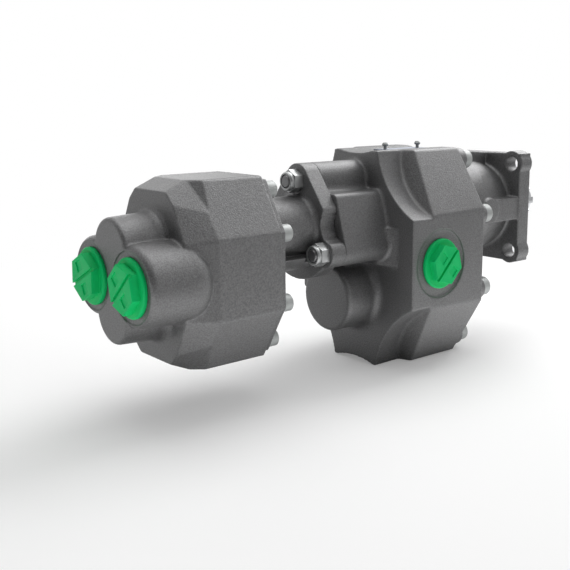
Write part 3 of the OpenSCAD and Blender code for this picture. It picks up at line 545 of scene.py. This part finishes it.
MAKERS = {
    "cast_iron": cast_iron,
    "zinc_steel": plated_steel,
    "nut_steel": nut_steel,
    "machined_steel": turned_steel,
    "dark_steel": dark_steel,
    "green_plastic": green_plastic,
    "plate_aluminium": satin_plate,
}
# Name, colour, roughness, metallic and cloud scale of the finishes that are only clouded
PLAIN = {
    "black_rubber": ("black rubber", (0.035, 0.035, 0.037), 0.5, 0.0, 300.0),
    "bearing_bronze": ("bearing bronze", (0.60, 0.42, 0.22), 0.28, 1.0, 180.0),
    "block_aluminium": ("machined aluminium", (0.70, 0.71, 0.72), 0.30, 1.0, 140.0),
}
FINISHES = {}


def finish_for(slot_name):
    """The shared material for one of the record's slots, made when it is first asked for."""
    if slot_name not in FINISHES:
        if slot_name in PLAIN:
            FINISHES[slot_name] = plain(*PLAIN[slot_name])
        else:
            FINISHES[slot_name] = MAKERS[slot_name](bpy.context.scene.pump_finish)
    return FINISHES[slot_name]


def dress(piece, node, finish=None):
    """Gives a new piece the finish, slot and body of the CAD node that it stands for."""
    piece.data.materials.clear()
    piece.data.materials.append(finish_for(finish or SLOT_OF[node]))
    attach(piece, BODY_OF[node])
    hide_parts(node)
    return piece


def dress_node(node):
    """Gives a CAD node its finish and keeps its shape."""
    obj = NODES[node]
    material = finish_for(SLOT_OF[node])
    if obj.material_slots:
        for slot in obj.material_slots:
            slot.material = material
    else:
        obj.data.materials.append(material)


# Castings


def spread(mesh, values, passes):
    """Evens out one value per point, or one row of them, over the mesh's edges."""
    ends = np.empty(len(mesh.edges) * 2, dtype=np.int32)
    mesh.edges.foreach_get("vertices", ends)
    first, second = ends[0::2], ends[1::2]
    count = len(mesh.vertices)
    degree = np.maximum(np.bincount(ends, minlength=count), 1)
    rows = values.reshape(count, -1).astype(float)
    for _ in range(passes):
        for k in range(rows.shape[1]):
            column = rows[:, k]
            total = np.bincount(first, column[second], count)
            total += np.bincount(second, column[first], count)
            rows[:, k] = (1 - SPREAD_SHARE) * column + SPREAD_SHARE * total / degree
    return rows.reshape(values.shape)


def hollows(mesh, points):
    """How far each point lies in a concave corner, from 0 to 1."""
    normals = np.empty(len(mesh.vertices) * 3, dtype=np.float32)
    mesh.vertices.foreach_get("normal", normals)
    shift = spread(mesh, points, WIDE_PASSES) - points
    inward = np.einsum("ij,ij->i", shift, spread(mesh, normals.reshape(-1, 3), NEAR_PASSES))
    depth = spread(mesh, np.clip(inward / HOLLOW_DEPTH, 0, 1), NEAR_PASSES)
    return np.clip(depth * HOLLOW_GAIN - HOLLOW_START, 0, 1)


def casting(node, machined, settings, fineness, share):
    """A casting with soft edges and wide fillets in its hollows.

    The form is the CAD node's, and the machined zones are held on it. fineness scales the spacing
    of the casting's points, and share the number of smoothing passes in its hollows.
    """
    obj = merged_copy(node, node + "_casting")
    guide = merged_copy(node, node + "_guide")
    remesh = obj.modifiers.new("skin", "REMESH")
    remesh.mode = "VOXEL"
    remesh.voxel_size = settings.skin * fineness * MM
    remesh.use_smooth_shade = True
    apply_modifiers(obj)
    points = coordinates(obj.data)
    held = machined(points).astype(float)
    add_group(obj, "held", held)
    add_group(obj, "cast", 1.0 - held)
    free = 1.0 - np.clip(spread(obj.data, held, NEAR_PASSES) * HELD_MARGIN, 0, 1)
    add_group(obj, "hollow", hollows(obj.data, points) * free)
    for group, passes in (("cast", settings.passes), ("hollow", round(settings.fillet * share))):
        soften = obj.modifiers.new("soften " + group, "SMOOTH")
        soften.factor = SOFTEN_FACTOR
        soften.iterations = passes
        soften.vertex_group = group
    seat = obj.modifiers.new("seat", "SHRINKWRAP")
    seat.target = guide
    seat.wrap_method = "NEAREST_SURFACEPOINT"
    seat.vertex_group = "held"
    apply_modifiers(obj)
    faces = len(obj.data.polygons) * 2
    if faces > settings.budget:
        thin = obj.modifiers.new("thin", "DECIMATE")
        thin.ratio = settings.budget / faces
        apply_modifiers(obj)
    bpy.data.objects.remove(guide)
    obj.vertex_groups.clear()
    shade_smooth(obj.data)
    dress(obj, node)


def front_body_machined(p):
    """Faces and bores of the front body that a tool has cut."""
    bore_end, shaft_bore_end = -162.5, -125
    gear_bore, middle, shaft_bore = 38.0, 34.0, 24.5
    stud_hole, screw_hole, spot_face = 6.5, 7.5, 28.6
    joint_skin, stud_depth, screw_depth = 1.2, 24, 28
    side_faces, side_ports = ((-75, -62), (62, 75)), ((-63, -20), (20, 63))
    keep = (p[:, 0] > FRONT_JOINT_X - joint_skin) | (p[:, 0] < TANDEM_X + FACE_SKIN)
    for z in (0, -FRONT_CENTRE):
        keep |= near_axis(p, 0, (0, z), gear_bore, bore_end, FRONT_JOINT_X + PAST)
    keep |= near_axis(p, 0, (0, FRONT_MID_Z), middle, bore_end, FRONT_JOINT_X + PAST)
    keep |= near_axis(p, 0, (0, 0), shaft_bore, TANDEM_X - PAST, shaft_bore_end)
    for y, z in stud_places():
        keep |= near_axis(p, 0, (y, z), stud_hole, TANDEM_X - PAST, TANDEM_X + stud_depth)
    port = centre_of("near_side_plug")
    for low, high in side_faces:
        keep |= near_axis(p, 1, (port[0], port[2]), spot_face, low, high)
    for low, high in side_ports:
        keep |= near_axis(p, 1, (port[0], port[2]), PORT_ZONE, low, high)
    near_joint = p[:, 0] > FRONT_JOINT_X - screw_depth
    keep |= near_joint & inner_screw_zone(p, "front_cover_screws", screw_hole)
    near_joint = p[:, 0] > FRONT_JOINT_X - DOWEL_DEPTH
    keep |= near_joint & inner_screw_zone(p, "front_dowel_pins", DOWEL_ZONE)
    return keep


def front_cover_machined(p):
    """Faces and bores of the front cover that a tool has cut."""
    flange_skin, shaft_bore, shaft_end, screw_seat = 1.0, 29.0, 12, 10.2
    flange_zone, flange_back, flange_front = 7.6, -17, 2
    keep = (p[:, 0] < FRONT_JOINT_X + FACE_SKIN) | (p[:, 0] > -flange_skin)
    keep |= near_axis(p, 0, (0, 0), shaft_bore, FRONT_JOINT_X - PAST, shaft_end)
    keep |= inner_screw_zone(p, "front_cover_screws", screw_seat)
    keep |= inner_screw_zone(p, "front_dowel_pins", DOWEL_ZONE)
    for y in (-FLANGE_HOLE, FLANGE_HOLE):
        for z in (-FLANGE_HOLE, FLANGE_HOLE):
            keep |= near_axis(p, 0, (y, z), flange_zone, flange_back, flange_front)
    return keep


def rear_body_machined(p):
    """Faces and bores of the rear body that a tool has cut."""
    joint_skin, gear_bore, middle, spot_face, screw_hole = 1.0, 27.0, 24.0, 25.0, 6.0
    bore_end, middle_end, port_end, screw_depth = -368, -345, -318, 22
    keep = p[:, 0] > REAR_JOINT_X - joint_skin
    for z in (0, -REAR_CENTRE):
        keep |= near_axis(p, 0, (0, z), gear_bore, bore_end, REAR_JOINT_X + PAST)
    keep |= near_axis(p, 0, (0, REAR_MID_Z), middle, middle_end, REAR_JOINT_X + PAST)
    seat = centre_of("near_rear_plug")
    for y in (seat[1], -seat[1]):
        low, high = REAR_END_X - 2 * PAST, REAR_END_X + 3 * PAST
        keep |= near_axis(p, 0, (y, seat[2]), spot_face, low, high)
        keep |= near_axis(p, 0, (y, seat[2]), PORT_ZONE, REAR_END_X, port_end)
    near_joint = p[:, 0] > REAR_JOINT_X - screw_depth
    keep |= near_joint & inner_screw_zone(p, "rear_cover_screws", screw_hole)
    near_joint = p[:, 0] > REAR_JOINT_X - DOWEL_DEPTH
    keep |= near_joint & inner_screw_zone(p, "rear_dowel_pins", DOWEL_ZONE)
    return keep


def rear_cover_machined(p):
    """Faces and bores of the rear cover that a tool has cut."""
    shaft_bore, nut_seat, nut_seat_depth = 21.5, 10.8, 3
    screw_seat, dowel_hole, spigot = 7.8, 5.2, 5
    keep = (p[:, 0] < REAR_JOINT_X + FACE_SKIN) | (p[:, 0] > TANDEM_X - FACE_SKIN)
    keep |= near_axis(p, 0, (0, 0), shaft_bore, REAR_JOINT_X - PAST, TANDEM_X + spigot)
    for y, z in stud_places():
        keep |= near_axis(p, 0, (y, z), nut_seat, TANDEM_BACK_X - nut_seat_depth, TANDEM_X + PAST)
    keep |= inner_screw_zone(p, "rear_cover_screws", screw_seat)
    keep |= inner_screw_zone(p, "rear_dowel_pins", dowel_hole)
    return keep


# Crisp pieces with a small break on every edge


def edged(node, width, finish=None):
    """A node's form with its sharp edges broken by a small round, its width in millimetres."""
    obj = merged_copy(node, node + "_edged")
    form = bmesh.new()
    form.from_mesh(obj.data)
    flat = math.radians(FLAT_ANGLE)
    bmesh.ops.dissolve_limit(
        form, angle_limit=flat, verts=form.verts, edges=form.edges, delimit={"NORMAL"}
    )
    form.to_mesh(obj.data)
    form.free()
    bevel = obj.modifiers.new("edge", "BEVEL")
    bevel.width = width * MM
    bevel.segments = BREAK_SEGMENTS
    bevel.limit_method = "ANGLE"
    bevel.angle_limit = math.radians(BREAK_ANGLE)
    bevel.use_clamp_overlap = True
    apply_modifiers(obj)
    shade_smooth(obj.data)
    obj.data.set_sharp_from_angle(angle=math.radians(SHARP_ANGLE))
    return dress(obj, node, finish)


def add_lips(nuts):
    """Adds the rolled lip that keeps each lock nut's ring in its end."""
    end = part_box("tandem_nuts")[0][0]
    form = bmesh.new()
    form.from_mesh(nuts.data)
    for y, z in stud_places():
        ring = [form.verts.new((end + a * MM, y * MM, (z + r) * MM)) for a, r in LIP_SECTION]
        edges = [form.edges.new((ring[i], ring[(i + 1) % len(ring)])) for i in range(len(ring))]
        bmesh.ops.spin(
            form,
            geom=ring + edges,
            cent=(end, y * MM, z * MM),
            axis=(1, 0, 0),
            angle=math.tau,
            steps=LIP_STEPS,
            use_merge=True,
        )
    bmesh.ops.recalc_face_normals(form, faces=form.faces)
    form.to_mesh(nuts.data)
    form.free()
    shade_smooth(nuts.data)
    nuts.data.set_sharp_from_angle(angle=math.radians(SHARP_ANGLE))


# Stage


def make_floor(settings):
    """A plain white floor just under the pump, which keeps its shadow.

    The camera sees it brighten to white away from the pump. To all other rays it is a grey floor
    with a bright strip in front of the pump and a fainter one behind its rear end.
    """
    form = bmesh.new()
    bmesh.ops.create_grid(form, x_segments=1, y_segments=1, size=FLOOR_HALF)
    bmesh.ops.translate(form, verts=form.verts, vec=(0, 0, CAD_BOX[0][2] - FLOOR_GAP))
    mesh = bpy.data.meshes.new("floor")
    form.to_mesh(mesh)
    form.free()
    floor = link(bpy.data.objects.new("floor", mesh))
    material, s = new_material("white floor")
    path = s.node("ShaderNodeLightPath")
    seen = Signal(s, path.outputs["Is Camera Ray"])
    diffuse = s.node("ShaderNodeBsdfDiffuse", None, {"Color": FLOOR_GREY})
    x, y = s.parts(s.place())[:2]
    ahead, behind = y * -1.0, x * -1.0
    strip = ahead.rise(*STRIP_START) * (1 - ahead.rise(*STRIP_END))
    tail = behind.rise(*TAIL_START) * TAIL_SHARE
    glow = s.glow(FLOOR_GLOW)
    bounce = s.glow((strip + tail) * settings.floor)
    near = s.node("ShaderNodeAddShader", None, {0: diffuse.outputs[0], 1: glow.outputs[0]})
    lit = s.node("ShaderNodeAddShader", None, {0: diffuse.outputs[0], 1: bounce.outputs[0]})
    along = x - FADE_CENTRE_X
    far = (along * along + y * y).root().rise(*FADE_TO_WHITE)
    shown = s.mix(far, near, s.glow(1.0))
    chosen = s.mix(seen, lit, shown)
    s.node("ShaderNodeOutputMaterial", None, {"Surface": chosen.outputs[0]})
    mesh.materials.append(material)


def softbox(name, place, side, power):
    """A square area lamp that faces the pump."""
    lamp = bpy.data.lights.new(name, "AREA")
    lamp.shape = "SQUARE"
    lamp.size = side
    lamp.energy = power
    obj = link(bpy.data.objects.new(name, lamp))
    away = Vector(place) - Vector(PUMP_MIDDLE)
    turn = away.to_track_quat("Z", "Y").to_matrix().to_4x4()
    obj.matrix_world = Matrix.Translation(place) @ turn


def make_lights(settings):
    """Softboxes above, high in front, high at the flange's end and behind."""
    for name, place, side in SOFTBOXES:
        softbox(name + " softbox", place, side, getattr(settings, name))


def make_world(settings):
    """A white studio, as the camera sees it.

    Other rays find it dimmer, glossy rays less so, with a darker zone behind the camera.
    """
    world = bpy.data.worlds.new("studio")
    bpy.context.scene.world = world
    s = Shader(world)
    direction = s.make("ShaderNodeTexCoord", output="Generated")
    toward = Vector(settings.camera) - Vector(PUMP_MIDDLE)
    toward.normalize()
    facing = s.make(
        "ShaderNodeVectorMath",
        {"operation": "DOT_PRODUCT"},
        {0: direction, 1: toward},
        output="Value",
    )
    dark = facing.rise(*DARK_ZONE)
    path = s.node("ShaderNodeLightPath")
    gloss = Signal(s, path.outputs["Is Glossy Ray"])
    seen = Signal(s, path.outputs["Is Camera Ray"])
    through = Signal(s, path.outputs["Is Transmission Ray"])
    strength = (1 - dark) * (gloss * GLOSS_EXTRA + settings.room)
    dim = s.node("ShaderNodeBackground", None, {"Color": WHITE, "Strength": strength})
    full = s.node("ShaderNodeBackground", None, {"Color": WHITE, "Strength": 1.0})
    chosen = s.mix(seen + through, dim, full)
    s.node("ShaderNodeOutputWorld", None, {"Surface": chosen.outputs[0]})


def make_camera(settings):
    """The camera that sees the pump as the photograph does."""
    yaw, dip, roll = settings.heading, settings.dip, settings.roll
    level_part = math.cos(dip)
    ahead = Vector((math.cos(yaw) * level_part, math.sin(yaw) * level_part, -math.sin(dip)))
    level = Vector((math.sin(yaw), -math.cos(yaw), 0))
    above = level.cross(ahead)
    right = level * math.cos(roll) + above * math.sin(roll)
    up = above * math.cos(roll) - level * math.sin(roll)
    lens = bpy.data.cameras.new("camera")
    lens.sensor_width = SENSOR
    lens.lens = settings.lens
    lens.shift_x = (PICTURE / 2 - OPTICAL_CENTRE[0]) / PICTURE
    lens.shift_y = (OPTICAL_CENTRE[1] - PICTURE / 2) / PICTURE
    lens.clip_start = 0.01
    camera = link(bpy.data.objects.new("camera", lens))
    turn = Matrix((right, up, -ahead)).transposed().to_4x4()
    camera.matrix_world = Matrix.Translation(settings.camera) @ turn
    bpy.context.scene.camera = camera


# Settings


class PumpFinish(bpy.types.PropertyGroup):
    """Colours of the pump's finishes."""

    iron: FloatVectorProperty(
        name="Cast Iron",
        description="Colour of the castings",
        subtype="COLOR",
        size=3,
        min=0,
        max=1,
        default=(0.18, 0.18, 0.182),
    )
    zinc: FloatVectorProperty(
        name="Zinc Plate",
        description="Colour of the plated screws",
        subtype="COLOR",
        size=3,
        min=0,
        max=1,
        default=(0.42, 0.435, 0.43),
    )
    nuts: FloatVectorProperty(
        name="Lock Nuts",
        description="Colour of the nuts on the tandem studs",
        subtype="COLOR",
        size=3,
        min=0,
        max=1,
        default=(0.50, 0.51, 0.51),
    )
    steel: FloatVectorProperty(
        name="Machined Steel",
        description="Colour of shafts, gears and pins",
        subtype="COLOR",
        size=3,
        min=0,
        max=1,
        default=(0.56, 0.57, 0.58),
    )
    dark_steel: FloatVectorProperty(
        name="Dark Steel",
        description="Colour of studs, rings and coupling",
        subtype="COLOR",
        size=3,
        min=0,
        max=1,
        default=(0.25, 0.25, 0.255),
    )
    plug: FloatVectorProperty(
        name="Plug",
        description="Colour of the port plugs",
        subtype="COLOR",
        size=3,
        min=0,
        max=1,
        default=(0.004, 0.58, 0.16),
    )
    plate: FloatVectorProperty(
        name="Name Plate",
        description="Colour of the bare name plate",
        subtype="COLOR",
        size=3,
        min=0,
        max=1,
        default=(0.40, 0.43, 0.50),
    )


class PumpCasting(bpy.types.PropertyGroup):
    """How the castings' edges are softened."""

    skin: FloatProperty(
        name="Skin Size",
        description="Spacing of the points on a casting's skin, in millimetres",
        default=0.9,
        min=0.5,
        max=3.0,
    )
    passes: IntProperty(
        name="Softening",
        description="Smoothing passes over the cast edges and corners",
        default=4,
        min=1,
        max=60,
    )
    fillet: IntProperty(
        name="Fillets",
        description="More smoothing passes in the hollows between two walls",
        default=24,
        min=1,
        max=200,
    )
    budget: IntProperty(
        name="Triangles",
        description="Most triangles kept on one casting",
        default=170000,
        min=20000,
        max=190000,
    )


class PumpStage(bpy.types.PropertyGroup):
    """Camera and light of the stage."""

    camera: FloatVectorProperty(
        name="Camera",
        description="Place of the camera",
        subtype="TRANSLATION",
        unit="LENGTH",
        size=3,
        default=(-0.6537, -0.5050, 0.0966),
    )
    heading: FloatProperty(
        name="Heading",
        description="Direction of view about Z",
        subtype="ANGLE",
        default=math.radians(49.81),
    )
    dip: FloatProperty(
        name="Dip",
        description="How far the camera looks down",
        subtype="ANGLE",
        default=math.radians(9.65),
    )
    roll: FloatProperty(
        name="Roll",
        description="Turn of the picture",
        subtype="ANGLE",
        default=math.radians(-0.30),
    )
    lens: FloatProperty(
        name="Lens",
        description="Focal length in millimetres on a 36 mm sensor",
        default=FOCAL / PICTURE * SENSOR,
        min=10,
        max=200,
    )
    top: FloatProperty(
        name="Top Light",
        description="Power of the softbox overhead",
        unit="POWER",
        default=8.5,
        min=0,
    )
    front: FloatProperty(
        name="Front Light",
        description="Power of the high softbox in front",
        unit="POWER",
        default=2.5,
        min=0,
    )
    right: FloatProperty(
        name="Right Light",
        description="Power of the high softbox at the flange's end",
        unit="POWER",
        default=14.4,
        min=0,
    )
    back: FloatProperty(
        name="Back Light",
        description="Power of the softbox behind",
        unit="POWER",
        default=4.3,
        min=0,
    )
    room: FloatProperty(
        name="Room",
        description="Strength of the light from the room",
        default=0.3,
        min=0,
        max=2,
    )
    floor: FloatProperty(
        name="Floor Light",
        description="Strength of the light from the floor in front",
        default=0.81,
        min=0,
        max=2,
    )


# Operators


class PUMP_OT_castings(bpy.types.Operator):
    """Makes the four iron castings with soft edges and fillets"""

    bl_idname = "pump.castings"
    bl_label = "Castings"

    def execute(self, context):
        settings = context.scene.pump_casting
        for node, machined, fineness, share in (
            ("front_body", front_body_machined, 1.0, 1.0),
            ("front_cover", front_cover_machined, 0.85, 0.6),
            ("rear_body", rear_body_machined, 0.85, 0.3),
            ("rear_cover", rear_cover_machined, 0.62, 0.8),
        ):
            casting(node, machined, settings, fineness, share)
        return {"FINISHED"}


class PUMP_OT_fasteners(bpy.types.Operator):
    """Dresses the screws, studs and nuts and breaks their edges"""

    bl_idname = "pump.fasteners"
    bl_label = "Fasteners"

    def execute(self, context):
        for node in ("front_cover_screws", "rear_cover_screws"):
            edged(node, SCREW_BREAK)
        add_lips(edged("tandem_nuts", NUT_BREAK, "nut_steel"))
        for node in (
            "tandem_studs",
            "nut_locking_rings",
            "name_plate_screws",
            "front_dowel_pins",
            "rear_dowel_pins",
        ):
            dress_node(node)
        return {"FINISHED"}


class PUMP_OT_plugs(bpy.types.Operator):
    """Makes the four green port plugs with moulded edges"""

    bl_idname = "pump.plugs"
    bl_label = "Port Plugs"

    def execute(self, context):
        for node in ("near_side_plug", "far_side_plug", "near_rear_plug", "far_rear_plug"):
            edged(node, PLUG_BREAK)
        return {"FINISHED"}


class PUMP_OT_name_plate(bpy.types.Operator):
    """Dresses the bare name plate"""

    bl_idname = "pump.name_plate"
    bl_label = "Name Plate"

    def execute(self, context):
        edged("name_plate", PLATE_BREAK)
        return {"FINISHED"}


class PUMP_OT_works(bpy.types.Operator):
    """Gives gears, shafts, bearings, seals and all other CAD pieces in view their finishes"""

    bl_idname = "pump.works"
    bl_label = "Inner Works"

    def execute(self, context):
        for node, obj in NODES.items():
            if not obj.hide_render:
                dress_node(node)
        return {"FINISHED"}


class PUMP_OT_stage(bpy.types.Operator):
    """Builds the floor, the lights and the camera"""

    bl_idname = "pump.stage"
    bl_label = "Stage"

    def execute(self, context):
        settings = context.scene.pump_stage
        make_floor(settings)
        make_lights(settings)
        make_world(settings)
        make_camera(settings)
        context.scene.view_settings.view_transform = "Standard"
        return {"FINISHED"}


class PUMP_PT_panel(bpy.types.Panel):
    """Lists the pump's pieces and settings"""

    bl_idname = "PUMP_PT_panel"
    bl_label = "Tandem Gear Pump"
    bl_space_type = "VIEW_3D"
    bl_region_type = "UI"
    bl_category = "Gear Pump"

    def draw(self, context):
        layout = self.layout
        scene = context.scene
        for title, group, operators in (
            ("Castings", scene.pump_casting, ("pump.castings",)),
            (
                "Finishes",
                scene.pump_finish,
                ("pump.fasteners", "pump.plugs", "pump.name_plate", "pump.works"),
            ),
            ("Stage", scene.pump_stage, ("pump.stage",)),
        ):
            box = layout.box()
            box.label(text=title)
            for key in group.bl_rna.properties.keys():
                if key not in ("rna_type", "name"):
                    box.prop(group, key)
            for name in operators:
                box.operator(name)


CLASSES = (
    PumpFinish,
    PumpCasting,
    PumpStage,
    PUMP_OT_castings,
    PUMP_OT_fasteners,
    PUMP_OT_plugs,
    PUMP_OT_name_plate,
    PUMP_OT_works,
    PUMP_OT_stage,
    PUMP_PT_panel,
)


def register():
    for cls in CLASSES:
        bpy.utils.register_class(cls)
    bpy.types.Scene.pump_finish = PointerProperty(type=PumpFinish)
    bpy.types.Scene.pump_casting = PointerProperty(type=PumpCasting)
    bpy.types.Scene.pump_stage = PointerProperty(type=PumpStage)


def unregister():
    del bpy.types.Scene.pump_stage
    del bpy.types.Scene.pump_casting
    del bpy.types.Scene.pump_finish
    for cls in reversed(CLASSES):
        bpy.utils.unregister_class(cls)


def main():
    """Registers the add-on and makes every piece."""
    register()
    bpy.ops.pump.castings()
    bpy.ops.pump.fasteners()
    bpy.ops.pump.plugs()
    bpy.ops.pump.name_plate()
    bpy.ops.pump.works()
    bpy.ops.pump.stage()


if __name__ == "__main__":
    main()
